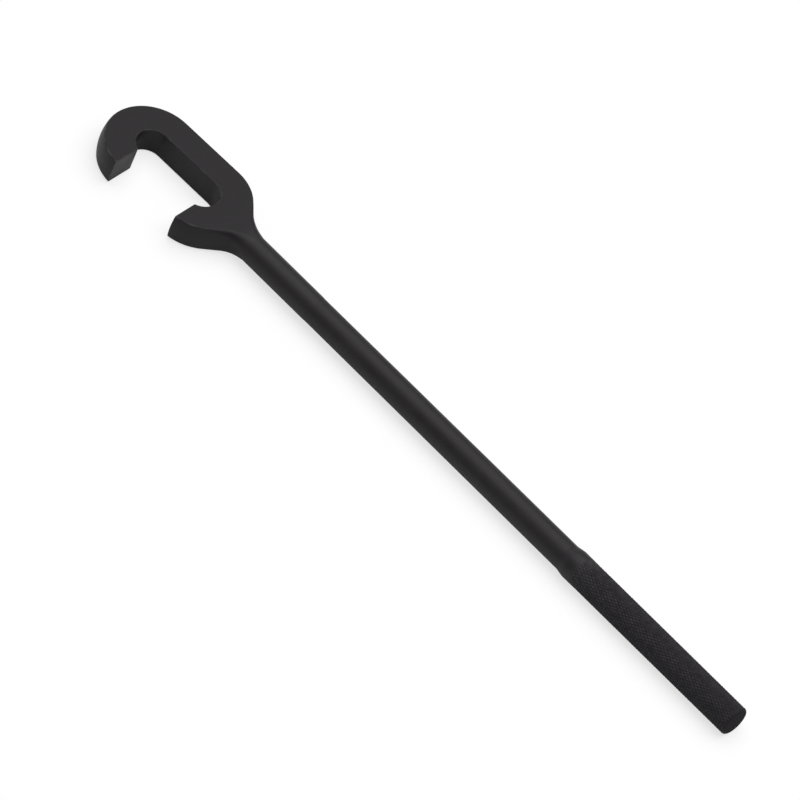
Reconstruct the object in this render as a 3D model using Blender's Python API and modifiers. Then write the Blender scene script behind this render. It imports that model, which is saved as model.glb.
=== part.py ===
"""Open-hook spanner for hand wheels and hydrant fittings, lying flat.

Three steel pieces share one axis: a forged hook head with a flared neck and a round stub, a round bar with a turned
spigot at each end, and a knurled grip sleeve with a blind bore.
Metres, +Z up. The axis runs along X with the head at -X, and the mouth of the hook opens towards -Y.
Inside the pieces, x is measured along the axis from the seam between stub and bar.
"""

import math

import bmesh
import bpy
from mathutils import Vector

# Gap left between two pieces that seat on each other
FIT_GAP = 0.0003

# Slot and mouth of the forged head
HEAD_THICKNESS = 0.0204
SLOT_HOOK_WIDTH = 0.0244
SLOT_JAW_WIDTH = 0.0263
SLOT_CENTRES = 0.0469
SLOT_OFFSET = 0.0038
MOUTH_WIDTH = 0.0552
TIP_SETBACK = 0.0031
HEAD_LEAN = math.radians(1.8)

# Outer walls of the forged head
SPINE_WIDTH = 0.0202
HOOK_WIDTH = 0.0213
JAW_RADIUS = 0.0315
JAW_ARC_SHIFT = 0.0014
SHOULDER_RADIUS = 0.0320
SHOULDER_SHIFT = 0.0028
FORGING_SWELL = 0.0013
EDGE_CHAMFER = 0.0004

# Neck and stub of the forged head
NECK_LENGTH = 0.0464
SPINE_FILLET = 0.0230
JAW_FILLET = 0.0163
ROOT_RUN = 0.0004
ROUNDING_RUN = 0.0037
STUB_LENGTH = 0.0645
STUB_DIAMETER = 0.0199

# Round bar and its two spigots
BAR_LENGTH = 0.2447
BAR_DIAMETER_AT_HEAD = 0.0196
BAR_DIAMETER_AT_GRIP = 0.0202
HEAD_SPIGOT_DIAMETER = 0.0120
HEAD_SPIGOT_LENGTH = 0.0300
GRIP_SPIGOT_DIAMETER = 0.0140
SPIGOT_CHAMFER = 0.0010

# Grip sleeve
GRIP_LENGTH = 0.1622
GRIP_DIAMETER = 0.0223
GRIP_CONE_LENGTH = 0.0045
GRIP_END_RADIUS = 0.0020
GRIP_END_WALL = 0.0150

# Facets: steps along each arc, sides of a turned piece, and the steps of the neck's sections
HOOK_STEPS = 24
SLOT_STEPS = 22
SHOULDER_STEPS = 6
GRIP_END_STEPS = 6
TURNED_SIDES = 48
SECTION_STEPS = 4
SECTION_CORNER = math.radians(42.0)
NECK_RINGS = 12
MERGE_DISTANCE = 0.00001
SHARP_ANGLE = math.radians(30.0)

OBJECT_NAME = "open_hook_spanner"


def direction(angle):
    """Unit vector in the XY plane at an angle from +X."""
    return Vector((math.cos(angle), math.sin(angle)))


def arc(centre, radius, start, end, steps):
    """Points along an arc from one angle to another, both ends included."""
    return [centre + radius * direction(start + (end - start) * i / steps) for i in range(steps + 1)]


def face_angle(centre, radius, point):
    """Angle on a circle where a mouth face through the point leaves it, on the mouth side."""
    along = Vector((math.sin(HEAD_LEAN), -math.cos(HEAD_LEAN)))
    offset = point - centre
    half = offset.dot(along)
    reach = -half + math.sqrt(half * half - offset.length_squared + radius * radius)
    hit = offset + reach * along
    return math.atan2(hit.y, hit.x)


class NeckSide:
    """One side of the neck: a convex shoulder, a straight flare and a concave fillet onto the stub.

    side is +1 for the spine's side and -1 for the jaw's side.
    """

    def __init__(self, side, centre, radius, fillet):
        self.side = side
        self.centre = centre
        self.radius = radius
        self.fillet = fillet
        self.fillet_centre = Vector((-STUB_LENGTH, side * (STUB_DIAMETER / 2 + fillet)))
        across = self.fillet_centre - centre
        swing = math.acos(min(1.0, (radius + fillet) / across.length))
        self.normal_angle = math.atan2(across.y, across.x) + side * swing
        self.normal = direction(self.normal_angle)
        self.flare_start = (centre + (radius + FORGING_SWELL) * self.normal).x
        self.flare_end = (self.fillet_centre - fillet * self.normal).x

    @staticmethod
    def fillet_limit(side, centre, radius):
        """Largest fillet that still leaves a straight flare between shoulder and stub."""
        drop = STUB_DIAMETER / 2 - side * centre.y
        run = -STUB_LENGTH - centre.x
        return (run * run + drop * drop - radius * radius) / (2 * (radius - drop))

    def half_width(self, x, grow):
        """Distance from the axis to this side's wall at x, with the wall grown outwards."""
        if x >= -STUB_LENGTH:
            return STUB_DIAMETER / 2 + grow
        if x > self.flare_end:
            bend = self.fillet - grow
            return abs(self.fillet_centre.y) - math.sqrt(bend * bend - (x + STUB_LENGTH) ** 2)
        level = self.normal.dot(self.centre) + self.radius + grow
        return abs((level - self.normal.x * x) / self.normal.y)


class HookHead:
    """Outline and sections of the forged head, all worked out from the driving dimensions."""

    def __init__(self):
        self.slot_hook = Vector((-STUB_LENGTH - NECK_LENGTH - SLOT_CENTRES, -SLOT_OFFSET))
        self.slot_jaw = Vector((-STUB_LENGTH - NECK_LENGTH, -SLOT_OFFSET))
        self.wall_angle = math.acos((SLOT_HOOK_WIDTH - SLOT_JAW_WIDTH) / 2 / SLOT_CENTRES)
        self.tip_point = self.slot_hook - Vector((TIP_SETBACK, 0.0))
        self.jaw_point = self.tip_point + Vector((MOUTH_WIDTH, 0.0))

        self.hook_radius = (SLOT_HOOK_WIDTH + SPINE_WIDTH + HOOK_WIDTH) / 2
        nose = self.slot_hook.x - SLOT_HOOK_WIDTH / 2 - HOOK_WIDTH
        crown = self.slot_hook.y + SLOT_HOOK_WIDTH / 2 + SPINE_WIDTH
        self.hook_centre = Vector((nose + self.hook_radius, crown - self.hook_radius))

        self.spine_angle = math.pi / 2 + HEAD_LEAN
        spine_normal = direction(self.spine_angle)
        spine_level = spine_normal.dot(self.hook_centre) + self.hook_radius
        shoulder_x = self.slot_jaw.x + SHOULDER_SHIFT
        shoulder_y = (spine_level - SHOULDER_RADIUS - spine_normal.x * shoulder_x) / spine_normal.y
        shoulder = Vector((shoulder_x, shoulder_y))
        belly = self.slot_jaw + Vector((JAW_ARC_SHIFT, 0.0))

        spine_fillet = min(SPINE_FILLET, NeckSide.fillet_limit(1, shoulder, SHOULDER_RADIUS))
        jaw_fillet = min(JAW_FILLET, NeckSide.fillet_limit(-1, belly, JAW_RADIUS))
        self.spine_side = NeckSide(1, shoulder, SHOULDER_RADIUS, spine_fillet)
        self.jaw_side = NeckSide(-1, belly, JAW_RADIUS, jaw_fillet)
        self.root_x = max(self.spine_side.flare_start, self.jaw_side.flare_start) + ROOT_RUN
        self.round_x = -STUB_LENGTH + ROUNDING_RUN

        self.half_height = HEAD_THICKNESS / 2
        self.wall_height = self.half_height - EDGE_CHAMFER
        self.angles = [SECTION_CORNER * k / SECTION_STEPS for k in range(-SECTION_STEPS, SECTION_STEPS + 1)]
        self.shares = [math.tan(angle) / math.tan(SECTION_CORNER) for angle in self.angles]

    def swell(self, share):
        """How far an outer wall stands out at a share of the wall's half height."""
        return FORGING_SWELL * (1.0 - share * share)

    def outline(self, outer_grow, inner_grow):
        """Points from the neck's spine side round the hook, the slot and the jaw to the neck's jaw side.

        Outer walls move out by outer_grow, and the slot's walls and mouth faces move out by inner_grow.
        """
        hook_radius = self.hook_radius + outer_grow
        slot_hook_radius = SLOT_HOOK_WIDTH / 2 - inner_grow
        slot_jaw_radius = SLOT_JAW_WIDTH / 2 - inner_grow
        jaw_radius = JAW_RADIUS + outer_grow
        tip = self.tip_point + Vector((inner_grow, 0.0))
        jaw = self.jaw_point - Vector((inner_grow, 0.0))
        full_turn = 2 * math.pi
        tip_out = face_angle(self.hook_centre, hook_radius, tip) + full_turn
        tip_in = face_angle(self.slot_hook, slot_hook_radius, tip) + full_turn
        jaw_in = face_angle(self.slot_jaw, slot_jaw_radius, jaw)
        jaw_out = face_angle(self.jaw_side.centre, jaw_radius, jaw)

        spine, belly = self.spine_side, self.jaw_side
        points = [Vector((self.root_x, spine.half_width(self.root_x, outer_grow)))]
        shoulder_radius = SHOULDER_RADIUS + outer_grow
        points += arc(spine.centre, shoulder_radius, spine.normal_angle, self.spine_angle, SHOULDER_STEPS)
        points += arc(self.hook_centre, hook_radius, self.spine_angle, tip_out, HOOK_STEPS)
        points += arc(self.slot_hook, slot_hook_radius, tip_in, self.wall_angle, SLOT_STEPS)
        points += arc(self.slot_jaw, slot_jaw_radius, self.wall_angle, jaw_in, SLOT_STEPS)
        points += arc(belly.centre, jaw_radius, jaw_out, belly.normal_angle, SHOULDER_STEPS)
        points.append(Vector((self.root_x, -belly.half_width(self.root_x, outer_grow))))
        return points

    def section(self, x):
        """Section of the neck at x: a swollen rectangle whose corners round off to a circle at the stub."""
        roundness = min(1.0, (x - self.root_x) / (self.round_x - self.root_x))
        height = self.half_height + (STUB_DIAMETER / 2 - self.half_height) * roundness
        corner = EDGE_CHAMFER + (STUB_DIAMETER / 2 - EDGE_CHAMFER) * roundness
        spine = self.spine_side.half_width(x, 0.0)
        jaw = self.jaw_side.half_width(x, 0.0)
        half_width = (spine + jaw) / 2
        bend = (math.pi / 2 - 2.0) * corner
        sharp_bend = (math.pi / 2 - 2.0) * EDGE_CHAMFER
        points = []
        for index in range(4 * len(self.angles)):
            quarter, step = divmod(index, len(self.angles))
            angle, share = abs(self.angles[step]), abs(self.shares[step])
            upright = quarter % 2 == 0
            side = (height if upright else half_width) - EDGE_CHAMFER
            at_root = share * side / (height + half_width + sharp_bend)
            at_stub = angle / (math.pi / 2)
            way = at_root + (at_stub - at_root) * roundness
            whole = height + half_width + bend
            out, up = self.quarter_point((way if upright else 1.0 - way) * whole, half_width, height, corner)
            around = direction(quarter * math.pi / 2 + self.angles[step])
            neck_side = self.spine_side if around.x > 0 else self.jaw_side
            swell = self.swell(min(1.0, up / (height - EDGE_CHAMFER)))
            out += (neck_side.half_width(x, swell) - neck_side.half_width(x, 0.0)) * (1.0 - roundness)
            y = (spine - jaw) / 2 + math.copysign(out, around.x)
            points.append(Vector((x, y, math.copysign(up, around.y))))
        return points

    @staticmethod
    def quarter_point(way, half_width, height, corner):
        """Point at a way along a quarter of a rounded rectangle, from the middle of its side to that of its top."""
        wall = height - corner
        if way <= wall:
            return half_width, way
        bend = corner * math.pi / 2
        if way >= wall + bend:
            return half_width - corner - (way - wall - bend), height
        turn = direction((way - wall) / corner)
        return half_width - corner + corner * turn.x, wall + corner * turn.y

    def levels(self):
        """Outlines from the lower face to the upper face, as (outline, z) pairs."""
        face = self.outline(-EDGE_CHAMFER, -EDGE_CHAMFER)
        walls = [(self.outline(self.swell(s), 0.0), self.wall_height * s) for s in self.shares]
        return [(face, -self.half_height)] + walls + [(face, self.half_height)]


def skin(mesh, first, second, closed):
    """Quads between two rows of vertices that match one to one."""
    count = len(first)
    for i in range(count if closed else count - 1):
        j = (i + 1) % count
        mesh.faces.new((first[i], first[j], second[j], second[i]))


def ring(mesh, points):
    """Vertices for a list of points."""
    return [mesh.verts.new(point) for point in points]


def circle(x, radius, like):
    """Points of a circle about the axis at x, at the same angles as the points of another ring."""
    return [Vector((x, *(radius * Vector((point.y, point.z)).normalized()))) for point in like]


def forge_head(head):
    """Mesh of the forged head: the hook's stacked outlines, the neck's sections, the stub and its socket."""
    mesh = bmesh.new()
    levels = [ring(mesh, [(p.x, p.y, z) for p in outline]) for outline, z in head.levels()]
    for lower, upper in zip(levels, levels[1:]):
        skin(mesh, lower, upper, closed=False)

    # The neck starts from the open edge of the stacked outlines, with extra points across the two flat faces
    root = head.section(head.root_x)
    side = len(head.angles)
    bottom, walls, top = levels[0], levels[1:-1], levels[-1]
    across_top = ring(mesh, root[side + 1:2 * side - 1])
    across_bottom = ring(mesh, root[3 * side + 1:4 * side - 1])
    last = [row[0] for row in walls] + [top[0]] + across_top + [top[-1]]
    last += [row[-1] for row in reversed(walls)] + [bottom[-1]] + across_bottom + [bottom[0]]
    mesh.faces.new(top + across_top[::-1])
    mesh.faces.new((bottom + across_bottom)[::-1])

    stations = [head.root_x + (head.round_x - head.root_x) * i / NECK_RINGS for i in range(1, NECK_RINGS + 1)]
    for x in stations + [0.0]:
        section = head.section(x)
        following = ring(mesh, section)
        skin(mesh, last, following, closed=True)
        last = following

    # Seam face and the blind socket for the bar's spigot
    socket_radius = HEAD_SPIGOT_DIAMETER / 2 + FIT_GAP
    mouth = ring(mesh, circle(0.0, socket_radius, section))
    floor = ring(mesh, circle(-HEAD_SPIGOT_LENGTH - FIT_GAP, socket_radius, section))
    skin(mesh, last, mouth, closed=True)
    skin(mesh, mouth, floor, closed=True)
    mesh.faces.new(floor)
    bmesh.ops.recalc_face_normals(mesh, faces=mesh.faces)
    return mesh


def bar_profile():
    """Radius and place along the axis of the bar's outer side, from the grip's end to the head's end."""
    bar_start = FIT_GAP
    bar_end = bar_start + BAR_LENGTH
    tail = bar_end + FIT_GAP + GRIP_LENGTH - GRIP_END_WALL - FIT_GAP
    grip_spigot = GRIP_SPIGOT_DIAMETER / 2
    head_spigot = HEAD_SPIGOT_DIAMETER / 2
    return [
        (0.0, tail),
        (grip_spigot - SPIGOT_CHAMFER, tail),
        (grip_spigot, tail - SPIGOT_CHAMFER),
        (grip_spigot, bar_end),
        (BAR_DIAMETER_AT_GRIP / 2, bar_end),
        (BAR_DIAMETER_AT_HEAD / 2, bar_start),
        (head_spigot, bar_start),
        (head_spigot, SPIGOT_CHAMFER - HEAD_SPIGOT_LENGTH),
        (head_spigot - SPIGOT_CHAMFER, -HEAD_SPIGOT_LENGTH),
        (0.0, -HEAD_SPIGOT_LENGTH),
    ]


def grip_profile():
    """Radius and place along the axis of the sleeve, down its outside and back up its blind bore."""
    start = FIT_GAP + BAR_LENGTH + FIT_GAP
    end = start + GRIP_LENGTH
    bore = GRIP_SPIGOT_DIAMETER / 2 + FIT_GAP
    corner = Vector((GRIP_DIAMETER / 2 - GRIP_END_RADIUS, end - GRIP_END_RADIUS))
    rounded_end = arc(corner, GRIP_END_RADIUS, math.pi / 2, 0.0, GRIP_END_STEPS)
    return [(0.0, end)] + [tuple(point) for point in rounded_end] + [
        (GRIP_DIAMETER / 2, start + GRIP_CONE_LENGTH),
        (BAR_DIAMETER_AT_GRIP / 2, start),
        (bore, start),
        (bore, end - GRIP_END_WALL),
        (0.0, end - GRIP_END_WALL),
    ]


def black_steel(name, colour, roughness):
    """Blackened steel: a dark satin metal finish."""
    material = bpy.data.materials.new(name)
    material.use_nodes = True
    shader = material.node_tree.nodes["Principled BSDF"]
    shader.inputs["Base Color"].default_value = (*colour, 1.0)
    shader.inputs["Roughness"].default_value = roughness
    shader.inputs["Metallic"].default_value = 0.6
    return material


def add_piece(name, mesh, material, collection, axis):
    """Object on the tool's axis, in the object's own collection."""
    mesh.materials.append(material)
    piece = bpy.data.objects.new(name, mesh)
    piece.parent = axis
    collection.objects.link(piece)
    return piece


def add_turned_piece(name, profile, material, collection, axis):
    """Round piece about the tool's axis, from a profile of radius and place along the axis."""
    mesh = bpy.data.meshes.new(name)
    edges = [(i, i + 1) for i in range(len(profile) - 1)]
    mesh.from_pydata([(radius, 0.0, along) for radius, along in profile], edges, [])
    piece = add_piece(name, mesh, material, collection, axis)
    piece.rotation_euler = (0.0, math.pi / 2, 0.0)
    screw = piece.modifiers.new("turn", "SCREW")
    screw.axis = "Z"
    screw.steps = TURNED_SIDES
    screw.render_steps = TURNED_SIDES
    screw.use_merge_vertices = True
    screw.merge_threshold = MERGE_DISTANCE
    screw.use_smooth_shade = True
    return piece


def add_head(head, material, collection, axis):
    """The forged hook head."""
    name = "hook_head"
    mesh = bpy.data.meshes.new(name)
    forged = forge_head(head)
    forged.to_mesh(mesh)
    forged.free()
    mesh.shade_smooth()
    mesh.set_sharp_from_angle(angle=SHARP_ANGLE)
    return add_piece(name, mesh, material, collection, axis)


def add_axis(head, collection):
    """Empty on the tool's axis at the seam, set so that the whole tool stands over the world's origin."""
    swollen = head.outline(FORGING_SWELL, 0.0)
    across = [point.y for point in swollen]
    nose = min(point.x for point in swollen)
    tail = FIT_GAP + BAR_LENGTH + FIT_GAP + GRIP_LENGTH
    axis = bpy.data.objects.new("tool_axis", None)
    axis.location = (
        -(nose + tail) / 2,
        -(min(across) + max(across)) / 2,
        max(GRIP_DIAMETER, HEAD_THICKNESS) / 2,
    )
    collection.objects.link(axis)
    return axis


def main():
    """Clear the scene and build the spanner."""
    for old in list(bpy.data.objects):
        bpy.data.objects.remove(old, do_unlink=True)
    collection = bpy.data.collections.new(OBJECT_NAME)
    bpy.context.scene.collection.children.link(collection)

    head = HookHead()
    axis = add_axis(head, collection)
    forged = black_steel("forged_black", (0.040, 0.037, 0.040), 0.52)
    drawn = black_steel("drawn_black", (0.042, 0.039, 0.041), 0.46)
    knurled = black_steel("knurled_black", (0.030, 0.027, 0.032), 0.60)
    add_head(head, forged, collection, axis)
    add_turned_piece("shaft", bar_profile(), drawn, collection, axis)
    add_turned_piece("knurled_grip", grip_profile(), knurled, collection, axis)


if __name__ == "__main__":
    main()
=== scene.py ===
"""Looks of the open-hook spanner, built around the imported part.

The three steel pieces are modelled again with finer edges than the solids have: the forged hook
head, the drawn bar and the grip with its cut diamond knurl. Each gets a blackened steel finish of
its own. Sizes are in metres. Inside the pieces, x runs along the tool's axis from the seam between
head and bar, y points to the spine's side and z up.
"""

import logging
import math
from dataclasses import dataclass, field
from enum import Enum
from typing import Dict, Iterable, List, Optional, Sequence, Tuple, Union

import bmesh
import bpy
from bmesh.types import BMEdge, BMesh, BMFace, BMLayerItem, BMVert
from bpy.types import Material, Node, NodeSocket, NodeTree, Object
from mathutils import Matrix, Vector


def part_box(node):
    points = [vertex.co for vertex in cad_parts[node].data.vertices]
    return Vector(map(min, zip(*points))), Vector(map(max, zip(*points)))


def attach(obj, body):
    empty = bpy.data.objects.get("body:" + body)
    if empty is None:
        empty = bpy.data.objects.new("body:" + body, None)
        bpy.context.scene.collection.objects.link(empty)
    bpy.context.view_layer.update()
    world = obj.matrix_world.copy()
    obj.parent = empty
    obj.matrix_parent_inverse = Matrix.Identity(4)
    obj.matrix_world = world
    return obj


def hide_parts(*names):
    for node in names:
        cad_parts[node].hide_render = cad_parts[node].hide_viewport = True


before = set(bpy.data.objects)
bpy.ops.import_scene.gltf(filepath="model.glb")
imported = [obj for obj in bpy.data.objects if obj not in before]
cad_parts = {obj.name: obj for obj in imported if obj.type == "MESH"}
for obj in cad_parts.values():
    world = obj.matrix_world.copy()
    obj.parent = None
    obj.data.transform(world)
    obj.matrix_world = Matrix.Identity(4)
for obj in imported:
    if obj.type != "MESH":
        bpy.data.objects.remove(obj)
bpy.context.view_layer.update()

LOG = logging.getLogger("spanner")
BODY = "root"
FULL_TURN = 2.0 * math.pi
WELD_DISTANCE = 1e-6
VALUE, VECTOR = "NodeSocketFloat", "NodeSocketVector"
# A mix node's sockets have the same names for every kind of data, so they go by number.
VALUE_FIRST, VALUE_SECOND, VALUE_RESULT = 2, 3, 0
COLOUR_FIRST, COLOUR_SECOND, COLOUR_RESULT = 6, 7, 2
Colour = Tuple[float, float, float]


def direction(angle: float) -> Vector:
    """Unit vector in the XY plane at an angle from +X."""
    return Vector((math.cos(angle), math.sin(angle), 0.0))


def ease(share: float) -> float:
    """Smooth step from 0 to 1, level at both ends."""
    share = max(0.0, min(1.0, share))
    return share * share * (3.0 - 2.0 * share)


def between(first: float, second: float, share: float) -> float:
    """Value at a share of the way from one value to another."""
    return first * (1.0 - share) + second * share


def hump(share: float) -> float:
    """Rise from 0 to 1 halfway and fall back to 0, with nothing outside."""
    return max(0.0, 4.0 * share * (1.0 - share))


def new_verts(bm: BMesh, count_before: int) -> List[BMVert]:
    """Vertices that were added to a bmesh since it had count_before of them."""
    bm.verts.ensure_lookup_table()
    return bm.verts[count_before:]


def once(items: Iterable) -> List:
    """Items in their order, each only once."""
    return list(dict.fromkeys(items))


def of_kind(geom: Sequence, kind: type) -> List:
    """Items of one kind among those that a bmesh operator gives back."""
    return [item for item in geom if isinstance(item, kind)]


def lathe(bm: BMesh, profile: Sequence[Tuple[float, float]], sides: int) -> None:
    """Turn a profile about the X axis.

    Args:
        bm: mesh that receives the turned skin.
        profile: places along the axis and radii, from one end to the other.
        sides: steps in a full turn.
    """
    count = len(bm.verts)
    last = bmesh.ops.create_vert(bm, co=(profile[0][0], 0.0, profile[0][1]))["vert"][0]
    for along, radius in profile[1:]:
        grown = bmesh.ops.extrude_vert_indiv(bm, verts=[last])
        last = grown["verts"][0]
        last.co = (along, 0.0, radius)
    verts = new_verts(bm, count)
    edges = once(edge for vert in verts for edge in vert.link_edges)
    bmesh.ops.spin(
        bm,
        geom=list(verts) + edges,
        cent=(0.0, 0.0, 0.0),
        axis=(1.0, 0.0, 0.0),
        angle=FULL_TURN,
        steps=sides,
        use_merge=True,
    )
    bmesh.ops.remove_doubles(bm, verts=bm.verts, dist=WELD_DISTANCE)
    bmesh.ops.dissolve_degenerate(bm, edges=bm.edges, dist=WELD_DISTANCE)
    bmesh.ops.recalc_face_normals(bm, faces=bm.faces)


@dataclass(frozen=True)
class ToolAxis:
    """Line through the middle of the bar, with its zero at the seam between head and bar."""

    origin: Vector

    @classmethod
    def from_frame(cls) -> "ToolAxis":
        """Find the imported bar's axis.

        Returns:
            The axis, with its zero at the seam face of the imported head.
        """
        low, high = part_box("shaft")
        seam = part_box("hook_head")[1].x
        return cls(Vector((seam, (low.y + high.y) / 2.0, (low.z + high.z) / 2.0)))


class Surface(Enum):
    """How a piece's steel was worked before it was blackened."""

    FORGED = "forged"
    DRAWN = "drawn"
    KNURLED = "knurled"


def add_node(
    tree: NodeTree, kind: str, values: Dict[Union[str, int], object], **settings: object
) -> Node:
    """Add a node to a tree.

    Args:
        tree: the node tree.
        kind: the node's type.
        values: what its inputs get, by name or number: a socket to link, or else a value.
        settings: the node's own settings.

    Returns:
        The node.
    """
    node = tree.nodes.new(kind)
    for name, setting in settings.items():
        setattr(node, name, setting)
    for label, value in values.items():
        if isinstance(value, NodeSocket):
            tree.links.new(value, node.inputs[label])
        else:
            node.inputs[label].default_value = value
    return node


def maths(tree: NodeTree, operation: str, *values: object) -> NodeSocket:
    """Result of a maths node in a tree."""
    node = add_node(tree, "ShaderNodeMath", dict(enumerate(values)), operation=operation)
    return node.outputs["Value"]


class SharedEffects:
    """Shader node groups that the finishes share, each built once."""

    GRAIN = {"Scale": 1.0, "Detail": 3.0, "Roughness": 0.6}
    CLOUDS = {"Detail": 5.0, "Roughness": 0.55}
    CLOUD_SPREAD = {"From Min": 0.3, "From Max": 0.7}
    PATCHES = {"Detail": 4.0}
    PATCH_SPREAD = {"From Min": 0.35, "From Max": 0.65}

    def __init__(self) -> None:
        """Build the groups."""
        self.grain = self._grain()
        self.wear_and_sheen_group = self._make_wear_and_sheen()

    @staticmethod
    def _group(name: str, inputs: Dict[str, str], outputs: Dict[str, str]) -> NodeTree:
        """Empty shader node group with named sockets.

        Args:
            name: the group's name.
            inputs: socket types by input name.
            outputs: socket types by output name.

        Returns:
            The group, with one input node and one output node.
        """
        tree = bpy.data.node_groups.new(name, "ShaderNodeTree")
        for sockets, side in ((inputs, "INPUT"), (outputs, "OUTPUT")):
            for label, kind in sockets.items():
                tree.interface.new_socket(name=label, in_out=side, socket_type=kind)
        tree.nodes.new("NodeGroupInput").name = "in"
        tree.nodes.new("NodeGroupOutput").name = "out"
        return tree

    def _grain(self) -> NodeTree:
        """Make the grain of blackened steel.

        Returns:
            The group, which gives the fine grain's height and broad clouds in the coat.
        """
        tree = self._group(
            "blackened_grain",
            {"Place": VECTOR, "Grain": VECTOR, "Clouds": VALUE},
            {"Height": VALUE, "Mottle": VALUE},
        )
        given, wanted = tree.nodes["in"].outputs, tree.nodes["out"].inputs
        stretched = add_node(
            tree,
            "ShaderNodeVectorMath",
            {0: given["Place"], 1: given["Grain"]},
            operation="MULTIPLY",
        )
        fine = add_node(
            tree, "ShaderNodeTexNoise", {"Vector": stretched.outputs[0], **self.GRAIN}
        )
        broad = add_node(
            tree,
            "ShaderNodeTexNoise",
            {"Vector": given["Place"], "Scale": given["Clouds"], **self.CLOUDS},
        )
        spread = add_node(
            tree, "ShaderNodeMapRange", {"Value": broad.outputs["Fac"], **self.CLOUD_SPREAD}
        )
        tree.links.new(fine.outputs["Fac"], wanted["Height"])
        tree.links.new(spread.outputs["Result"], wanted["Mottle"])
        return tree

    def _make_wear_and_sheen(self) -> NodeTree:
        """Make the marks of worn coat and painted highlight along marked edges or crests.

        Returns:
            The group. Its marks are patchy where the attribute is up to 1, and have no gaps above.
        """
        tree = self._group(
            "rubbed_edges_and_painted_sheen",
            {"Place": VECTOR, "Edge": VALUE, "Patches": VALUE},
            {"Wear and sheen": VALUE},
        )
        given, wanted = tree.nodes["in"].outputs, tree.nodes["out"].inputs
        patches = add_node(
            tree,
            "ShaderNodeTexNoise",
            {"Vector": given["Place"], "Scale": given["Patches"], **self.PATCHES},
        )
        spread = add_node(
            tree, "ShaderNodeMapRange", {"Value": patches.outputs["Fac"], **self.PATCH_SPREAD}
        )
        patchy = maths(tree, "MULTIPLY", spread.outputs["Result"], given["Edge"])
        above = maths(tree, "SUBTRACT", given["Edge"], 1.0)
        tree.links.new(maths(tree, "MAXIMUM", patchy, above), wanted["Wear and sheen"])
        return tree


@dataclass(frozen=True)
class Turning:
    """Steel that was turned smooth, where the attribute marks it.

    On the grip its lighter colour also runs on into the knurl as a painted highlight.
    """

    attribute: str
    colour: Colour
    roughness: float


@dataclass(frozen=True)
class WearAndSheen:
    """Lighter coat on marked edges or crests: partly worn thin, partly painted highlight."""

    attribute: str
    colour: Colour


@dataclass(frozen=True)
class BlackFinish:
    """Blackened steel of one kind of surface.

    The coat is mottled from dark to pale and from smoothest to roughest, in clouds of that size.
    grain is the size of its fine grain along X, Y and Z, and bump the grain's height. The patches
    of worn coat and painted highlight stand patches_per_cloud times as close as the clouds. matt
    names an attribute that marks faces without any gloss.
    """

    surface: Surface
    dark: Colour
    pale: Colour
    grain: Tuple[float, float, float]
    clouds: float
    bump: float
    smoothest: float
    roughest: float
    specular: float
    turned: Optional[Turning] = None
    wear_and_sheen: Optional[WearAndSheen] = None
    patches_per_cloud: float = 2.0
    matt: str = ""

    @property
    def name(self) -> str:
        """Name of the material."""
        return f"blackened_{self.surface.value}_steel"

    def material(self, effects: SharedEffects) -> Material:
        """Make the finish's material.

        Args:
            effects: the shared node groups.

        Returns:
            A node material that reads Object coordinates and the piece's own attributes.
        """
        made = bpy.data.materials.new(self.name)
        made.use_nodes = True
        tree = made.node_tree
        shader = tree.nodes["Principled BSDF"]
        shader.inputs["Specular IOR Level"].default_value = self.specular
        place = add_node(tree, "ShaderNodeTexCoord", {}).outputs["Object"]
        fineness = [1.0 / size for size in self.grain]
        grain = add_node(
            tree,
            "ShaderNodeGroup",
            {"Place": place, "Grain": fineness, "Clouds": 1.0 / self.clouds},
            node_tree=effects.grain,
        )
        mottle = grain.outputs["Mottle"]
        coats = [(self.pale, mottle)]
        gloss = add_node(
            tree,
            "ShaderNodeMapRange",
            {"Value": mottle, "To Min": self.smoothest, "To Max": self.roughest},
        )
        roughness = gloss.outputs["Result"]
        if self.turned:
            smooth = self._marked(tree, self.turned.attribute)
            coats.append((self.turned.colour, smooth))
            polish = add_node(
                tree,
                "ShaderNodeMix",
                {"Factor": smooth, VALUE_FIRST: roughness, VALUE_SECOND: self.turned.roughness},
            )
            roughness = polish.outputs[VALUE_RESULT]
        # lighter marks on edges and crests: partly worn coat, partly painted highlight
        if self.wear_and_sheen:
            wear_and_sheen_group = add_node(
                tree,
                "ShaderNodeGroup",
                {
                    "Place": place,
                    "Edge": self._marked(tree, self.wear_and_sheen.attribute),
                    "Patches": self.patches_per_cloud / self.clouds,
                },
                node_tree=effects.wear_and_sheen_group,
            )
            coats.append((self.wear_and_sheen.colour, wear_and_sheen_group.outputs["Wear and sheen"]))
        if self.matt:
            roughness = maths(tree, "MAXIMUM", roughness, self._marked(tree, self.matt))
        tree.links.new(roughness, shader.inputs["Roughness"])

        colour = (*self.dark, 1.0)
        for coat, share in coats:
            mix = add_node(
                tree,
                "ShaderNodeMix",
                {"Factor": share, COLOUR_FIRST: colour, COLOUR_SECOND: (*coat, 1.0)},
                data_type="RGBA",
            )
            colour = mix.outputs[COLOUR_RESULT]
        tree.links.new(colour, shader.inputs["Base Color"])
        bump = add_node(
            tree, "ShaderNodeBump", {"Height": grain.outputs["Height"], "Distance": self.bump}
        )
        tree.links.new(bump.outputs["Normal"], shader.inputs["Normal"])
        return made

    @staticmethod
    def _marked(tree: NodeTree, attribute: str) -> NodeSocket:
        """Value of one of the piece's attributes."""
        return add_node(tree, "ShaderNodeAttribute", {}, attribute_name=attribute).outputs["Fac"]


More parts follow.
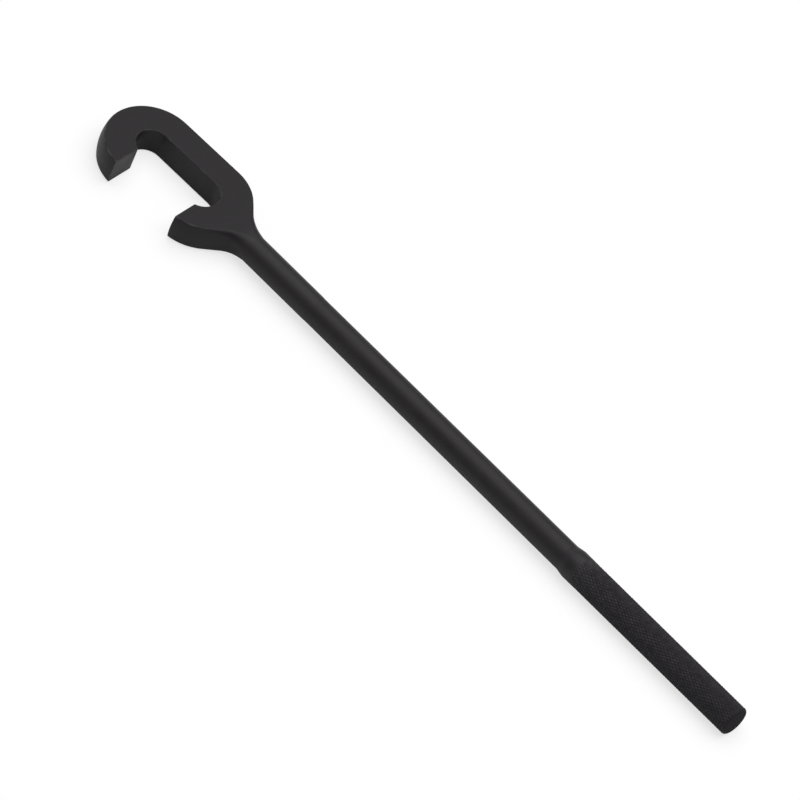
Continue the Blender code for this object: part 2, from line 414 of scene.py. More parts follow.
@dataclass(frozen=True)
class Arc:
    """Circle in the XY plane that a wall of the head follows."""

    centre: Vector
    radius: float

    def face_angle(self, face_point: Vector, along: Vector) -> float:
        """Angle where a flat mouth face leaves this circle.

        Args:
            face_point: a point on the face, inside the circle.
            along: unit vector along the face, towards the mouth.

        Returns:
            The angle about the circle's centre.
        """
        offset = face_point - self.centre
        half = offset.dot(along)
        reach = -half + math.sqrt(half * half - offset.length_squared + self.radius ** 2)
        hit = offset + reach * along
        return math.atan2(hit.y, hit.x)


@dataclass(frozen=True)
class Flank:
    """One side of the neck: a straight flare between a convex shoulder and a concave fillet.

    The fillet leads on to the stub. side is 1 towards the spine and -1 towards the jaw.
    """

    side: int
    shoulder: Arc
    fillet: float
    stub_radius: float
    stub_start: float

    @property
    def fillet_centre(self) -> Vector:
        """Centre of the concave fillet."""
        return Vector((self.stub_start, self.side * (self.stub_radius + self.fillet), 0.0))

    @property
    def normal_angle(self) -> float:
        """Direction that the flare's straight wall faces.

        Returns:
            The angle from +X.
        """
        across = self.fillet_centre - self.shoulder.centre
        swing = math.acos((self.shoulder.radius + self.fillet) / across.length)
        return math.atan2(across.y, across.x) + self.side * swing

    def flare_start(self, grow: float) -> float:
        """Place along the axis where the shoulder, grown outwards, turns into the flare."""
        return self.shoulder.centre.x + (self.shoulder.radius + grow) * math.cos(self.normal_angle)

    @property
    def flare_end(self) -> float:
        """Place along the axis where the flare turns into the fillet."""
        return self.stub_start - self.fillet * math.cos(self.normal_angle)

    def half_width(self, x: float, grow: float) -> float:
        """Distance from the axis to this side's wall.

        Args:
            x: place along the axis, between the flare and the seam.
            grow: how far the wall stands out from its line.

        Returns:
            The distance, which is never negative.
        """
        if x >= self.stub_start:
            return self.stub_radius + grow
        if x > self.flare_end:
            bend = self.fillet - grow
            return abs(self.fillet_centre.y) - math.sqrt(bend * bend - (x - self.stub_start) ** 2)
        normal = direction(self.normal_angle)
        level = normal.dot(self.shoulder.centre) + self.shoulder.radius + grow
        return abs((level - normal.x * x) / normal.y)


class Pencil:
    """Draws the head's outline as one chain of vertices, and notes how each moves in a swell."""

    def __init__(self, bm: BMesh, level: float) -> None:
        """Start an outline.

        Args:
            bm: mesh that receives the outline.
            level: height of the outline.
        """
        self.bm = bm
        self.level = level
        self.swell = bm.verts.layers.float_vector["swell"]
        self.chain: List[BMVert] = []

    def _join(self, verts: Sequence[BMVert]) -> None:
        """Add vertices to the chain, with an edge from its last one.

        Args:
            verts: the vertices in order.
        """
        if self.chain:
            self.bm.edges.new((self.chain[-1], verts[0]))
        self.chain.extend(verts)

    def point(self, x: float, y: float, swell: Vector) -> None:
        """Add one corner.

        Args:
            x: the corner's place along the axis.
            y: the corner's place across the axis.
            swell: the way that it moves as the wall swells.
        """
        vert = bmesh.ops.create_vert(self.bm, co=(x, y, self.level))["vert"][0]
        vert[self.swell] = swell
        self._join([vert])

    def arc(self, arc: Arc, start: float, end: float, steps: int, swells: bool) -> None:
        """Add an arc by spinning its first vertex.

        Args:
            arc: the circle to follow.
            start: first angle.
            end: last angle.
            steps: straight steps along the arc.
            swells: whether the wall here swells outwards.
        """
        count = len(self.bm.verts)
        first = arc.centre + arc.radius * direction(start)
        vert = bmesh.ops.create_vert(self.bm, co=(first.x, first.y, self.level))["vert"][0]
        bmesh.ops.spin(
            self.bm,
            geom=[vert],
            cent=(arc.centre.x, arc.centre.y, self.level),
            axis=(0.0, 0.0, 1.0),
            angle=end - start,
            steps=steps,
        )
        verts = new_verts(self.bm, count)
        for one in verts:
            outward = one.co - arc.centre
            outward.z = 0.0
            one[self.swell] = outward.normalized() if swells else Vector()
        self._join(verts)

    def lean(self, index: int, along: Vector) -> None:
        """Make a corner move along a flat face, so that the face stays flat."""
        vert = self.chain[index]
        vert[self.swell] = along / along.dot(vert[self.swell])

    def close(self) -> BMFace:
        """Close the chain and fill it.

        Returns:
            The outline's face.
        """
        edges = once(edge for vert in self.chain for edge in vert.link_edges)
        edges.append(self.bm.edges.new((self.chain[-1], self.chain[0])))
        return bmesh.ops.contextual_create(self.bm, geom=edges)["faces"][0]


@dataclass
class Piece:
    """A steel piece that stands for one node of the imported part."""

    axis: ToolAxis
    finish: BlackFinish
    name: str
    node: str
    slot: str
    sharp_angle: float = math.radians(30.0)

    def model(self) -> BMesh:
        """Model the piece about the tool's axis."""
        raise NotImplementedError

    def dress(self, obj: Object) -> None:
        """Shade the piece smooth between its sharp edges."""
        obj.data.shade_smooth()
        obj.data.set_sharp_from_angle(angle=self.sharp_angle)

    def add(self, effects: SharedEffects) -> None:
        """Put the piece into the scene in place of its node, riding on the part's body.

        Args:
            effects: the shared node groups.
        """
        bm = self.model()
        bmesh.ops.translate(bm, verts=bm.verts, vec=self.axis.origin)
        mesh = bpy.data.meshes.new(self.name)
        bm.to_mesh(mesh)
        bm.free()
        mesh.materials.append(self.finish.material(effects))
        obj = bpy.data.objects.new(self.name, mesh)
        bpy.context.scene.collection.objects.link(obj)
        self.dress(obj)
        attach(obj, BODY)
        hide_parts(self.node)
        LOG.info("%s stands for %s with %d faces", self.name, self.node, len(mesh.polygons))


@dataclass
class ForgedHead(Piece):
    """Hook, slot, jaw, neck and round stub, forged in one piece.

    The outer walls stand out by forging_swell between the flat faces. Edges are marked as worn by
    1.
    The slot's edges get a stronger, unbroken mark, partly wear and partly a painted highlight line.
    Each ring of the neck keeps wear_left of the wear before it. The neck is turned smooth from
    turned_from of the way to the stub.
    """

    sharp_angle: float = math.radians(50.0)
    thickness: float = 0.0204
    slot_hook_width: float = 0.0244
    slot_jaw_width: float = 0.0263
    slot_centres: float = 0.0469
    slot_offset: float = 0.0038
    mouth_width: float = 0.0552
    tip_setback: float = 0.0031
    lean: float = math.radians(1.8)
    spine_width: float = 0.0202
    hook_width: float = 0.0213
    jaw_radius: float = 0.0315
    jaw_arc_shift: float = 0.0014
    shoulder_radius: float = 0.0320
    shoulder_shift: float = 0.0028
    forging_swell: float = 0.0013
    edge_radius: float = 0.00045
    neck_length: float = 0.0464
    spine_fillet: float = 0.0230
    jaw_fillet: float = 0.0163
    root_run: float = 0.0004
    rounding_run: float = 0.0037
    stub_length: float = 0.0645
    stub_diameter: float = 0.0199
    flush_run: float = 0.0020
    flush_diameter: float = 0.0196
    socket_diameter: float = 0.0126
    socket_depth: float = 0.0303
    shoulder_steps: int = 14
    hook_steps: int = 64
    slot_steps: int = 48
    belly_steps: int = 20
    edge_steps: int = 3
    rows: int = 20
    neck_rings: int = 40
    wear_left: float = 0.75
    slot_wear_and_highlight: float = 1.6
    turned_from: float = 0.5
    crease_angle: float = math.radians(18.0)
    flat_weight: int = 100

    def __post_init__(self) -> None:
        """Work out the circles and lines that the outline follows."""
        stub_start = -self.stub_length
        hook_x = stub_start - self.neck_length - self.slot_centres
        jaw_x = hook_x + self.slot_centres
        self.slot_hook = Arc(Vector((hook_x, -self.slot_offset, 0.0)), self.slot_hook_width / 2.0)
        self.slot_jaw = Arc(Vector((jaw_x, -self.slot_offset, 0.0)), self.slot_jaw_width / 2.0)
        taper = self.slot_hook.radius - self.slot_jaw.radius
        self.wall_angle = math.acos(taper / self.slot_centres)
        self.face_along = Vector((math.sin(self.lean), -math.cos(self.lean), 0.0))
        self.tip_point = self.slot_hook.centre - Vector((self.tip_setback, 0.0, 0.0))
        self.jaw_point = self.tip_point + Vector((self.mouth_width, 0.0, 0.0))

        reach = (self.slot_hook_width + self.spine_width + self.hook_width) / 2.0
        nose = hook_x - self.slot_hook.radius - self.hook_width
        crown = self.slot_hook.radius + self.spine_width - self.slot_offset
        self.hook = Arc(Vector((nose + reach, crown - reach, 0.0)), reach)
        self.spine_angle = math.pi / 2.0 + self.lean
        normal = direction(self.spine_angle)
        level = normal.dot(self.hook.centre) + reach - self.shoulder_radius
        shoulder_x = self.slot_jaw.centre.x + self.shoulder_shift
        shoulder_centre = Vector((shoulder_x, (level - normal.x * shoulder_x) / normal.y, 0.0))
        belly_centre = self.slot_jaw.centre + Vector((self.jaw_arc_shift, 0.0, 0.0))
        stub = {"stub_radius": self.stub_diameter / 2.0, "stub_start": stub_start}
        shoulder = Arc(shoulder_centre, self.shoulder_radius)
        belly = Arc(belly_centre, self.jaw_radius)
        self.spine_flank = Flank(1, shoulder, self.spine_fillet, **stub)
        self.jaw_flank = Flank(-1, belly, self.jaw_fillet, **stub)
        flanks = (self.spine_flank, self.jaw_flank)
        self.root_x = max(flank.flare_start(self.forging_swell) for flank in flanks) + self.root_run
        self.round_x = stub_start + self.rounding_run

    def model(self) -> BMesh:
        """Forge the plate, swell its walls, soften its edges and draw out the neck.

        Returns:
            The head.
        """
        bm = bmesh.new()
        bm.faces.layers.float.new("edge")
        bm.verts.layers.float.new("turned")
        for name in ("swell", "quarter", "share"):
            bm.verts.layers.float_vector.new(name)
        self._plate(bm)
        self._swell(bm)
        self._open_root(bm)
        self._soften(bm)
        self._neck(bm)
        bmesh.ops.recalc_face_normals(bm, faces=bm.faces)
        return bm

    def _plate(self, bm: BMesh) -> None:
        """Draw the outline from the neck round the hook, the slot and the jaw, and thicken it.

        Args:
            bm: mesh that receives the plate.
        """
        spine, jaw = self.spine_flank, self.jaw_flank
        pencil = Pencil(bm, -self.thickness / 2.0)
        self._root_corner(pencil, spine)
        pencil.arc(spine.shoulder, spine.normal_angle, self.spine_angle, self.shoulder_steps, True)
        tip_out = self.hook.face_angle(self.tip_point, self.face_along) + FULL_TURN
        pencil.arc(self.hook, self.spine_angle, tip_out, self.hook_steps, True)
        pencil.lean(-1, self.face_along)
        tip_in = self.slot_hook.face_angle(self.tip_point, self.face_along) + FULL_TURN
        pencil.arc(self.slot_hook, tip_in, self.wall_angle, self.slot_steps, False)
        jaw_in = self.slot_jaw.face_angle(self.jaw_point, self.face_along)
        pencil.arc(self.slot_jaw, self.wall_angle, jaw_in, self.slot_steps, False)
        jaw_out = jaw.shoulder.face_angle(self.jaw_point, self.face_along)
        belly_start = len(pencil.chain)
        pencil.arc(jaw.shoulder, jaw_out, jaw.normal_angle, self.belly_steps, True)
        pencil.lean(belly_start, self.face_along)
        self._root_corner(pencil, jaw)
        face = pencil.close()
        raised = bmesh.ops.extrude_face_region(bm, geom=[face])["geom"]
        tops = of_kind(raised, BMVert)
        bmesh.ops.translate(bm, verts=tops, vec=(0.0, 0.0, self.thickness))
        uprights = [
            edge
            for edge in bm.edges
            if abs(edge.verts[0].co.z - edge.verts[1].co.z) > WELD_DISTANCE
        ]
        bmesh.ops.subdivide_edges(bm, edges=uprights, cuts=self.rows - 1, use_grid_fill=True)

    def _root_corner(self, pencil: Pencil, flank: Flank) -> None:
        """Add the corner where a flank of the neck crosses the neck's root."""
        swell = Vector((0.0, 1.0 / math.sin(flank.normal_angle), 0.0))
        pencil.point(self.root_x, flank.side * flank.half_width(self.root_x, 0.0), swell)

    def _bulge(self, share: float) -> float:
        """How far an outer wall stands out at a share of the half thickness."""
        return self.forging_swell * (1.0 - share * share)

    def _swell(self, bm: BMesh) -> None:
        """Push the outer walls out between the two flat faces.

        Args:
            bm: the plate.
        """
        layer = bm.verts.layers.float_vector["swell"]
        for vert in bm.verts:
            vert.co += Vector(vert[layer]) * self._bulge(2.0 * vert.co.z / self.thickness)

    def _open_root(self, bm: BMesh) -> None:
        """Take away the plate's end at the neck's root, and divide both flat faces' open edge.

        Args:
            bm: the plate.
        """
        inside = {vert for vert in bm.verts if abs(vert.co.x - self.root_x) < WELD_DISTANCE}
        cap = [face for face in bm.faces if all(vert in inside for vert in face.verts)]
        bmesh.ops.delete(bm, geom=cap, context="FACES")
        across = [
            edge for edge in bm.edges if edge.is_boundary and edge.calc_length() > self.thickness
        ]
        bmesh.ops.subdivide_edges(bm, edges=across, cuts=2 * self.rows - 1)

    def _neck(self, bm: BMesh) -> None:
        """Draw the plate's open edge out to the stub, flush with the bar, and into the socket.

        Args:
            bm: the plate.
        """
        quarter = bm.verts.layers.float_vector["quarter"]
        share = bm.verts.layers.float_vector["share"]
        turned = bm.verts.layers.float["turned"]
        edge_wear = bm.faces.layers.float["edge"]
        ring = [edge for edge in bm.edges if edge.is_boundary]
        self._mark_ring(once(vert for edge in ring for vert in edge.verts), quarter, share)
        run = self.round_x - self.root_x
        numbers = range(1, self.neck_rings + 1)
        steps = [self.root_x + run * number / self.neck_rings for number in numbers]
        for x in steps + [-self.flush_run, 0.0]:
            ring, verts, faces = self._draw_out(bm, ring)
            for vert in verts:
                vert.co = self._section(x, Vector(vert[quarter]), Vector(vert[share]))
                past = self._roundness(x) - self.turned_from
                vert[turned] = ease(past / (1.0 - self.turned_from))
            for face in faces:
                face[edge_wear] *= self.wear_left
        flush = self.flush_diameter / self.stub_diameter
        bmesh.ops.scale(bm, vec=(1.0, flush, flush), verts=verts)
        for x in (0.0, -self.socket_depth):
            ring, verts, _ = self._draw_out(bm, ring)
            for vert in verts:
                outward = Vector((0.0, vert.co.y, vert.co.z)).normalized()
                vert.co = outward * self.socket_diameter / 2.0
                vert.co.x = x
        bmesh.ops.contextual_create(bm, geom=ring)

    def _mark_ring(self, verts: List[BMVert], quarter: BMLayerItem, share: BMLayerItem) -> None:
        """Note where each vertex of the neck's first ring stands.

        Args:
            verts: the ring at the neck's root.
            quarter: layer for the quarter of the section, as signs in Y and Z.
            share: layer for the share of the way from the middle of the flat face to the middle of
                the side, as it is at the root and as it is with the vertices spread evenly.
        """
        height = self.thickness / 2.0 - self.edge_radius
        bend = self.edge_radius * math.pi / 2.0
        for flank in (self.spine_flank, self.jaw_flank):
            width = flank.half_width(self.root_x, 0.0) - self.edge_radius
            for up in (1.0, -1.0):
                marks = []
                for vert in verts:
                    y, z = flank.side * vert.co.y, up * vert.co.z
                    if y < 0.0 or z < 0.0 or (z == 0.0 and up < 0.0):
                        continue
                    if z <= height:
                        way = width + bend + height - z
                    else:
                        turn = math.atan2(max(0.0, y - width), z - height)
                        way = min(y, width) + self.edge_radius * turn
                    marks.append((way / (width + bend + height), vert))
                marks.sort(key=lambda mark: mark[0])
                first, last = marks[0][0], marks[-1][0]
                for number, (place, vert) in enumerate(marks):
                    even = first + (last - first) * number / (len(marks) - 1)
                    vert[quarter] = (0.0, flank.side, up)
                    vert[share] = (place, even, 0.0)

    @staticmethod
    def _draw_out(
        bm: BMesh, ring: Sequence[BMEdge]
    ) -> Tuple[List[BMEdge], List[BMVert], List[BMFace]]:
        """Extrude an open ring of edges.

        Args:
            bm: mesh to work on.
            ring: the boundary edges.

        Returns:
            The new ring's edges and vertices, still in the old ring's place, and the faces between.
        """
        grown = bmesh.ops.extrude_edge_only(bm, edges=list(ring))["geom"]
        verts = of_kind(grown, BMVert)
        edges = of_kind(grown, BMEdge)
        new_ring = [edge for edge in edges if set(verts).issuperset(edge.verts)]
        return new_ring, verts, of_kind(grown, BMFace)

    def _roundness(self, x: float) -> float:
        """How far the neck's section has turned from flat to round, from 0 to 1."""
        return max(0.0, min(1.0, (x - self.root_x) / (self.round_x - self.root_x)))

    def _section(self, x: float, quarter: Vector, share: Vector) -> Vector:
        """Point of the neck's section, a swollen rectangle that rounds off to a circle.

        Args:
            x: place along the axis.
            quarter: the quarter of the section, as signs in Y and Z.
            share: the point's share of the way along its quarter, at the root and spread evenly.

        Returns:
            The point's place about the tool's axis.
        """
        roundness = self._roundness(x)
        flank = self.spine_flank if quarter.y > 0.0 else self.jaw_flank
        width = flank.half_width(x, 0.0)
        height = between(self.thickness / 2.0, self.stub_diameter / 2.0, roundness)
        corner = between(self.edge_radius, self.stub_diameter / 2.0, roundness)
        bend = corner * math.pi / 2.0
        flat = width - corner
        way = between(share.x, share.y, roundness) * (flat + bend + height - corner)
        if way < flat:
            y, z = way, height
        elif way < flat + bend:
            turn = (way - flat) / corner
            y, z = flat + corner * math.sin(turn), height - corner + corner * math.cos(turn)
        else:
            y, z = width, height - corner - (way - flat - bend)
        y += flank.half_width(x, self._bulge(z / height) * (1.0 - roundness)) - width
        return Vector((x, quarter.y * y, quarter.z * z))

    def _soften(self, bm: BMesh) -> None:
        """Round the forging's edges, and mark the rounded strips for wear.

        The slot's strips get a stronger mark, partly wear and partly painted highlight.

        Args:
            bm: the plate.
        """
        layer = bm.faces.layers.float["edge"]
        swell = bm.verts.layers.float_vector["swell"]
        creases = [
            edge
            for edge in bm.edges
            if edge.is_manifold and edge.calc_face_angle() > self.crease_angle
        ]
        softened = bmesh.ops.bevel(
            bm,
            geom=creases,
            offset=self.edge_radius,
            offset_type="OFFSET",
            segments=self.edge_steps,
            profile=0.5,
            affect="EDGES",
            clamp_overlap=True,
            material=-1,
        )
        for face in softened["faces"]:
            # the slot's edges get a stronger mark: wear plus a painted highlight line
            on_slot = all(Vector(vert[swell]).length < WELD_DISTANCE for vert in face.verts)
            face[layer] = self.slot_wear_and_highlight if on_slot else 1.0

    def dress(self, obj: Object) -> None:
        """Shade the flats flat and the bends smooth.

        Args:
            obj: the head.
        """
        super().dress(obj)
        normals = obj.modifiers.new("flat_faces_lead", "WEIGHTED_NORMAL")
        normals.keep_sharp = True
        normals.weight = self.flat_weight


@dataclass
class DrawnBar(Piece):
    """Round bar between head and grip, with a spigot at each end."""

    length: float = 0.2450
    start: float = 0.00002
    diameter_at_head: float = 0.0196
    diameter_at_grip: float = 0.0202
    head_spigot: float = 0.0120
    head_spigot_length: float = 0.0300
    grip_spigot: float = 0.0140
    grip_spigot_length: float = 0.1469
    chamfer: float = 0.0010
    sides: int = 96

    @property
    def end(self) -> float:
        """Place along the axis of the shoulder at the grip."""
        return self.start + self.length

    def model(self) -> BMesh:
        """Turn the bar with its two spigots.

        Returns:
            The bar.
        """
        tail = self.end + self.grip_spigot_length
        nose = -self.head_spigot_length
        bm = bmesh.new()
        lathe(
            bm,
            [
                (nose, 0.0),
                (nose, self.head_spigot / 2.0 - self.chamfer),
                (nose + self.chamfer, self.head_spigot / 2.0),
                (self.start, self.head_spigot / 2.0),
                (self.start, self.diameter_at_head / 2.0),
                (self.end, self.diameter_at_grip / 2.0),
                (self.end, self.grip_spigot / 2.0),
                (tail - self.chamfer, self.grip_spigot / 2.0),
                (tail, self.grip_spigot / 2.0 - self.chamfer),
                (tail, 0.0),
            ],
            self.sides,
        )
        return bm


@dataclass
class KnurledGrip(Piece):
    """Grip sleeve with a lead-in cone, a diamond knurl and a rounded closed end.

    The knurl starts after a plain collar. It comes up to its depth over run_in. Its crests carry a
    mark, partly wear and partly a painted highlight that is strongest where the knurl starts, which
    comes up over a shorter run. The smooth finish of the cone dies out in the knurl over fade, and
    its lighter colour there is partly a painted highlight.
    """

    sharp_angle: float = math.radians(20.0)
    start: float = 0.24504
    end: float = 0.4075
    diameter: float = 0.0223
    diameter_at_bar: float = 0.0202
    cone_length: float = 0.0068
    cone_steps: int = 8
    cone_softness: float = 0.30
    end_radius: float = 0.0020
    end_steps: int = 6
    bore: float = 0.0146
    bore_end: float = 0.3925
    cone_painted_highlight: float = 0.30
    end_painted_light: float = 0.12
    collar: float = 0.0022
    diamonds_around: int = 32
    diamonds_along: int = 35
    run_in: float = 0.0090
    fade: float = 0.0240
    wear_and_sheen_in: float = 0.0070
    first_wear_and_sheen: float = 1.15
    last_wear_and_sheen: float = 0.70
    knurl_depth: float = 0.00045
    crest_flat: float = 0.00024

    def __post_init__(self) -> None:
        """Work out the knurl's rows, from the collar to where the end starts to round off."""
        self.first = self.start + self.cone_length + self.collar
        self.last = self.end - self.end_radius
        self.rows = 2 * self.diamonds_along
        self.pitch = (self.last - self.first) / self.rows

    def model(self) -> BMesh:
        """Turn the sleeve, cut the knurl and blunt its crests.

        Returns:
            The sleeve.
        """
        bm = bmesh.new()
        bm.faces.layers.float.new("sawn")
        for name in ("turned", "crest"):
            bm.verts.layers.float.new(name)
        lathe(bm, self._profile(), 2 * self.diamonds_around)
        self._mark(bm)
        self._cut_knurl(bm)
        return bm

    def _profile(self) -> List[Tuple[float, float]]:
        """Draw the sleeve's line from the bore over the cone and the barrel to the closed end.

        Returns:
            Places along the axis and radii.
        """
        radius, thin = self.diameter / 2.0, self.diameter_at_bar / 2.0
        line = [
            (self.bore_end, 0.0),
            (self.bore_end, self.bore / 2.0),
            (self.start, self.bore / 2.0),
        ]
        for step in range(self.cone_steps + 1):
            share = step / self.cone_steps
            rise = share + self.cone_softness * (ease(share) - share)
            line.append((self.start + self.cone_length * share, thin + (radius - thin) * rise))
        line += [(self.first + self.pitch * row, radius) for row in range(self.rows + 1)]
        for step in range(1, self.end_steps + 1):
            turn = math.pi / 2.0 * step / self.end_steps
            along, out = self.end_radius * math.sin(turn), self.end_radius * math.cos(turn)
            line.append((self.last + along, radius - self.end_radius + out))
        line.append((self.end, 0.0))
        return line

    def _mark(self, bm: BMesh) -> None:
        """Mark where the sleeve is smooth or sawn off, and where light is painted on it.

        The cone gets a painted highlight, and the end's rounding painted light.

        Args:
            bm: the turned sleeve.
        """
        turned = bm.verts.layers.float["turned"]
        crest = bm.verts.layers.float["crest"]
        sawn = bm.faces.layers.float["sawn"]
        for vert in bm.verts:
            x = vert.co.x
            # smooth finish of cone and collar; its colour runs far into the knurl as a painted
            # highlight
            vert[turned] = 1.0 - ease((x - self.first) / self.fade)
            # painted highlight round the cone, strongest halfway along it
            vert[crest] = self.cone_painted_highlight * hump((x - self.start) / self.cone_length)
            # painted light on the end's rounding, fading out towards the end face
            if x > self.last - WELD_DISTANCE:
                vert[crest] = self.end_painted_light * (1.0 - ease((x - self.last) / self.end_radius))
        for face in bm.faces:
            past = face.calc_center_median().x - self.last
            face[sawn] = max(0.0, past / self.end_radius)

    def _depth(self, x: float) -> float:
        """Depth of the knurl's grooves at a place along the axis."""
        return self.knurl_depth * ease((x - self.first) / self.run_in)

    def _crest_wear_and_sheen(self, x: float) -> float:
        """Mark on a crest, partly wear and partly painted highlight, strongest where the knurl
        starts.
        """
        most = between(self.first_wear_and_sheen, self.last_wear_and_sheen, (x - self.first) / (self.end - self.first))
        return most * ease((x - self.first) / self.wear_and_sheen_in)

    def _cut_knurl(self, bm: BMesh) -> None:
        """Sink every second vertex of the barrel into a groove, and blunt the crests that stay.

        The last row's grooves run out over the rounded end.

        Args:
            bm: the turned sleeve.
        """
        step = FULL_TURN / (2 * self.diamonds_around)
        half_row = 0.5
        layer = bm.verts.layers.float["crest"]
        grooves, crests = [], []
        for vert in bm.verts:
            row = (vert.co.x - self.first) / self.pitch
            in_bore = math.hypot(vert.co.y, vert.co.z) < self.diameter_at_bar / 2.0
            if in_bore or not half_row < row < self.rows + half_row:
                continue
            column = math.atan2(vert.co.y, vert.co.z) / step
            if (round(row) + round(column)) % 2 == 0:
                grooves.append(vert)
            elif vert.co.x < self.last + WELD_DISTANCE:
                crests.append(vert)
        for vert in grooves:
            bottom = self.diameter / 2.0 - self._depth(vert.co.x)
            sink = min(1.0, bottom / math.hypot(vert.co.y, vert.co.z))
            vert.co.y *= sink
            vert.co.z *= sink
        faces = once(face for vert in grooves for face in vert.link_faces)
        bmesh.ops.triangulate(bm, faces=faces, quad_method="SHORT_EDGE")
        blunted = bmesh.ops.bevel(
            bm,
            geom=crests,
            offset=self.crest_flat,
            offset_type="OFFSET",
            segments=1,
            profile=0.5,
            affect="VERTICES",
            clamp_overlap=True,
            material=-1,
        )
        # crest marks: worn coat plus a painted highlight, strongest near the knurl's start
        for face in blunted["faces"]:
            for vert in face.verts:
                vert[layer] = self._crest_wear_and_sheen(vert.co.x)


@dataclass(frozen=True)
class PhotoView:
    """Camera of the photograph, far away with a long lens and rolled so that the tool runs down.

    towards_camera is the direction from the tool to the camera, tilt the angle of the tool's axis
    below the picture's horizontal, and scale the metres that one of the picture's pixels spans.
    picture is its width in pixels. anchor is a place along the axis, and anchor_pixel where the
    picture shows it. nearest limits the view in metres, and furthest in camera distances.
    """

    towards_camera: Tuple[float, float, float] = (0.33, -0.61, 0.7205)
    tilt: float = math.radians(44.462)
    scale: float = 0.00065689
    picture: float = 800.0
    anchor: float = -0.040217
    anchor_pixel: Tuple[float, float] = (273.80, 269.72)
    lens: float = 1600.0
    sensor: float = 36.0
    nearest: float = 0.1
    furthest: float = 2.0

    def add(self, axis: ToolAxis) -> None:
        """Put the camera into the scene, and make it the scene's own.

        Args:
            axis: the tool's axis.
        """
        back = Vector(self.towards_camera).normalized()
        x_axis = Vector((1.0, 0.0, 0.0))
        along = (x_axis - back * back.x).normalized()
        aside = back.cross(along)
        right = along * math.cos(self.tilt) + aside * math.sin(self.tilt)
        up = aside * math.cos(self.tilt) - along * math.sin(self.tilt)
        anchor = axis.origin + x_axis * self.anchor
        middle = self.picture / 2.0
        target = anchor + self.scale * (
            right * (middle - self.anchor_pixel[0]) - up * (middle - self.anchor_pixel[1])
        )
        distance = self.scale * self.picture * self.lens / self.sensor
        data = bpy.data.cameras.new("photo_view")
        data.lens = self.lens
        data.sensor_width = self.sensor
        data.clip_start = self.nearest
        data.clip_end = self.furthest * distance
        camera = bpy.data.objects.new("photo_view", data)
        turn = Matrix((right, up, back)).transposed().to_4x4()
        camera.matrix_world = Matrix.Translation(target + back * distance) @ turn
        bpy.context.scene.collection.objects.link(camera)
        bpy.context.scene.camera = camera


@dataclass(frozen=True)
class Studio:
    """Plain pale floor under one large soft light from above, in an evenly lit room."""

    floor_size: float = 80.0
    floor_colour: Colour = (0.93, 0.93, 0.93)
    floor_gap: float = 0.0001
    floor_glow: float = 0.72
    mirrored_glow: float = 0.1
    light_strength: float = 2.95
    light_width: float = math.radians(75.0)
    light_tilt: float = math.radians(-11.0)
    light_height: float = 3.0
    room: float = 0.16

    def add(self) -> None:
        """Put the floor, the light and the room into the scene."""
        self._add_floor()
        self._add_light()
        self._add_room()
        bpy.context.scene.view_settings.view_transform = "Standard"

    def _add_floor(self) -> None:
        """Lay the floor just under the tool."""
        bm = bmesh.new()
        bmesh.ops.create_grid(bm, x_segments=1, y_segments=1, size=self.floor_size / 2.0)
        bmesh.ops.translate(bm, verts=bm.verts, vec=(0.0, 0.0, -self.floor_gap))
        mesh = bpy.data.meshes.new("floor")
        bm.to_mesh(mesh)
        bm.free()
        mesh.materials.append(self._floor_paint())
        floor = bpy.data.objects.new("floor", mesh)
        bpy.context.scene.collection.objects.link(floor)

    def _floor_paint(self) -> Material:
        """Make the floor's white paint.

        Returns:
            Paint that is partly lit from within, so that the tool's shadow stays light.
        """
        paint = bpy.data.materials.new("pale_floor")
        paint.use_nodes = True
        paint.cycles.emission_sampling = "NONE"
        tree = paint.node_tree
        shader = tree.nodes["Principled BSDF"]
        shader.inputs["Base Color"].default_value = (*self.floor_colour, 1.0)
        shader.inputs["Roughness"].default_value = 1.0
        shader.inputs["Specular IOR Level"].default_value = 0.0
        path = add_node(tree, "ShaderNodeLightPath", {})
        glows = {
            "Is Transmission Ray": self.mirrored_glow,
            "Is Glossy Ray": self.mirrored_glow,
            "Is Camera Ray": self.floor_glow,
        }
        total = 0.0
        for ray, glow in glows.items():
            total = maths(tree, "MULTIPLY_ADD", path.outputs[ray], glow, total)
        light = add_node(tree, "ShaderNodeEmission", {}).outputs["Emission"]
        blend = add_node(
            tree, "ShaderNodeMixShader", {"Fac": total, 1: shader.outputs["BSDF"], 2: light}
        )
        tree.links.new(blend.outputs["Shader"], tree.nodes["Material Output"].inputs["Surface"])
        return paint

    def _add_light(self) -> None:
        """Hang the large soft light over the tool."""
        data = bpy.data.lights.new("overhead_light", "SUN")
        data.energy = self.light_strength
        data.angle = self.light_width
        lamp = bpy.data.objects.new("overhead_light", data)
        lamp.location = (0.0, 0.0, self.light_height)
        lamp.rotation_euler = (self.light_tilt, 0.0, 0.0)
        bpy.context.scene.collection.objects.link(lamp)

    def _add_room(self) -> None:
        """Fill the room with even light."""
        world = bpy.data.worlds.new("room")
        world.use_nodes = True
        backdrop = world.node_tree.nodes["Background"]
        backdrop.inputs["Color"].default_value = (self.room, self.room, self.room, 1.0)
        bpy.context.scene.world = world


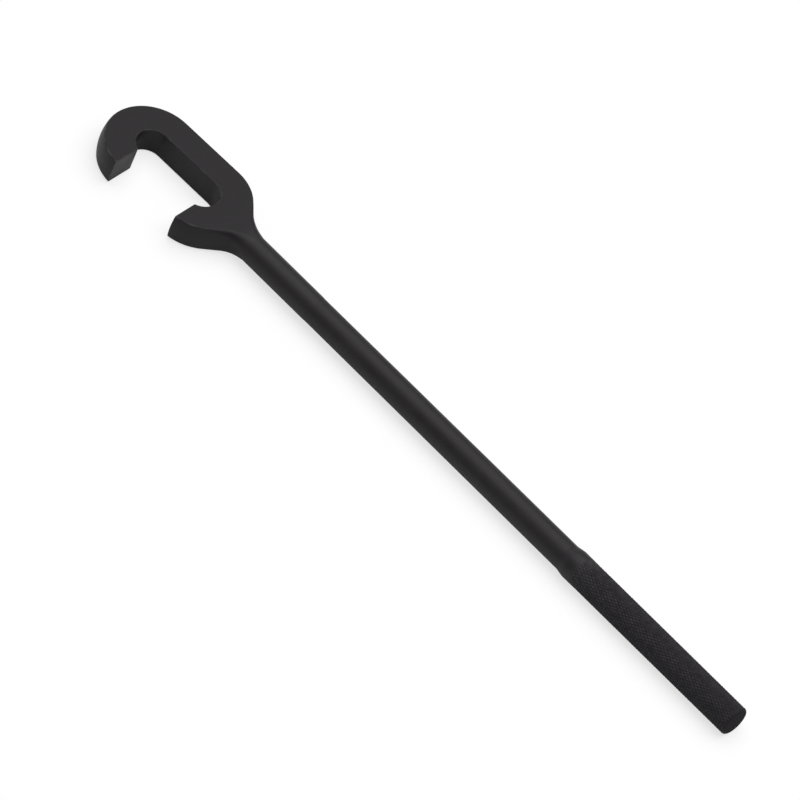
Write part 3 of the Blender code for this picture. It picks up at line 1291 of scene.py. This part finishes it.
@dataclass
class Spanner:
    """The whole tool: its three pieces and their finishes."""

    axis: ToolAxis = field(default_factory=ToolAxis.from_frame)
    forged: BlackFinish = BlackFinish(
        surface=Surface.FORGED,
        dark=(0.0124, 0.0107, 0.0122),
        pale=(0.0160, 0.0140, 0.0158),
        grain=(0.00045, 0.00045, 0.00045),
        clouds=0.0090,
        bump=0.00003,
        smoothest=0.45,
        roughest=0.53,
        specular=0.19,
        turned=Turning("turned", (0.0223, 0.0203, 0.0219), 0.47),
        # lighter edges: worn coat, and along the slot a painted highlight line
        wear_and_sheen=WearAndSheen("edge", (0.0600, 0.0560, 0.0590)),
    )
    drawn: BlackFinish = BlackFinish(
        surface=Surface.DRAWN,
        dark=(0.0206, 0.0187, 0.0202),
        pale=(0.0240, 0.0220, 0.0236),
        grain=(0.00600, 0.00030, 0.00030),
        clouds=0.0120,
        bump=0.00002,
        smoothest=0.43,
        roughest=0.51,
        specular=0.17,
    )
    knurled: BlackFinish = BlackFinish(
        surface=Surface.KNURLED,
        dark=(0.0131, 0.0116, 0.0141),
        pale=(0.0148, 0.0131, 0.0158),
        grain=(0.00035, 0.00035, 0.00035),
        clouds=0.0070,
        bump=0.00002,
        smoothest=0.60,
        roughest=0.70,
        specular=0.18,
        # smooth cone and collar, whose colour also runs into the knurl as a painted highlight
        turned=Turning("turned", (0.0213, 0.0195, 0.0210), 0.47),
        # lighter crests: worn coat, with painted highlight on the cone, the end and the knurl's
        # start
        wear_and_sheen=WearAndSheen("crest", (0.0470, 0.0425, 0.0490)),
        matt="sawn",
    )

    def pieces(self) -> List[Piece]:
        """List the pieces.

        Returns:
            The pieces from the hook to the grip's end.
        """
        axis = self.axis
        return [
            ForgedHead(axis, self.forged, "forged_hook_head", "hook_head", "forged_black"),
            DrawnBar(axis, self.drawn, "drawn_bar", "shaft", "drawn_black"),
            KnurledGrip(axis, self.knurled, "diamond_knurl_grip", "knurled_grip", "knurled_black"),
        ]


def main() -> None:
    """Build the pieces, the studio and the camera."""
    logging.basicConfig(level=logging.INFO, format="%(message)s")
    effects = SharedEffects()
    spanner = Spanner()
    for piece in spanner.pieces():
        piece.add(effects)
    Studio().add()
    PhotoView().add(spanner.axis)
    LOG.info("floor, light and camera are in place")


if __name__ == "__main__":
    main()
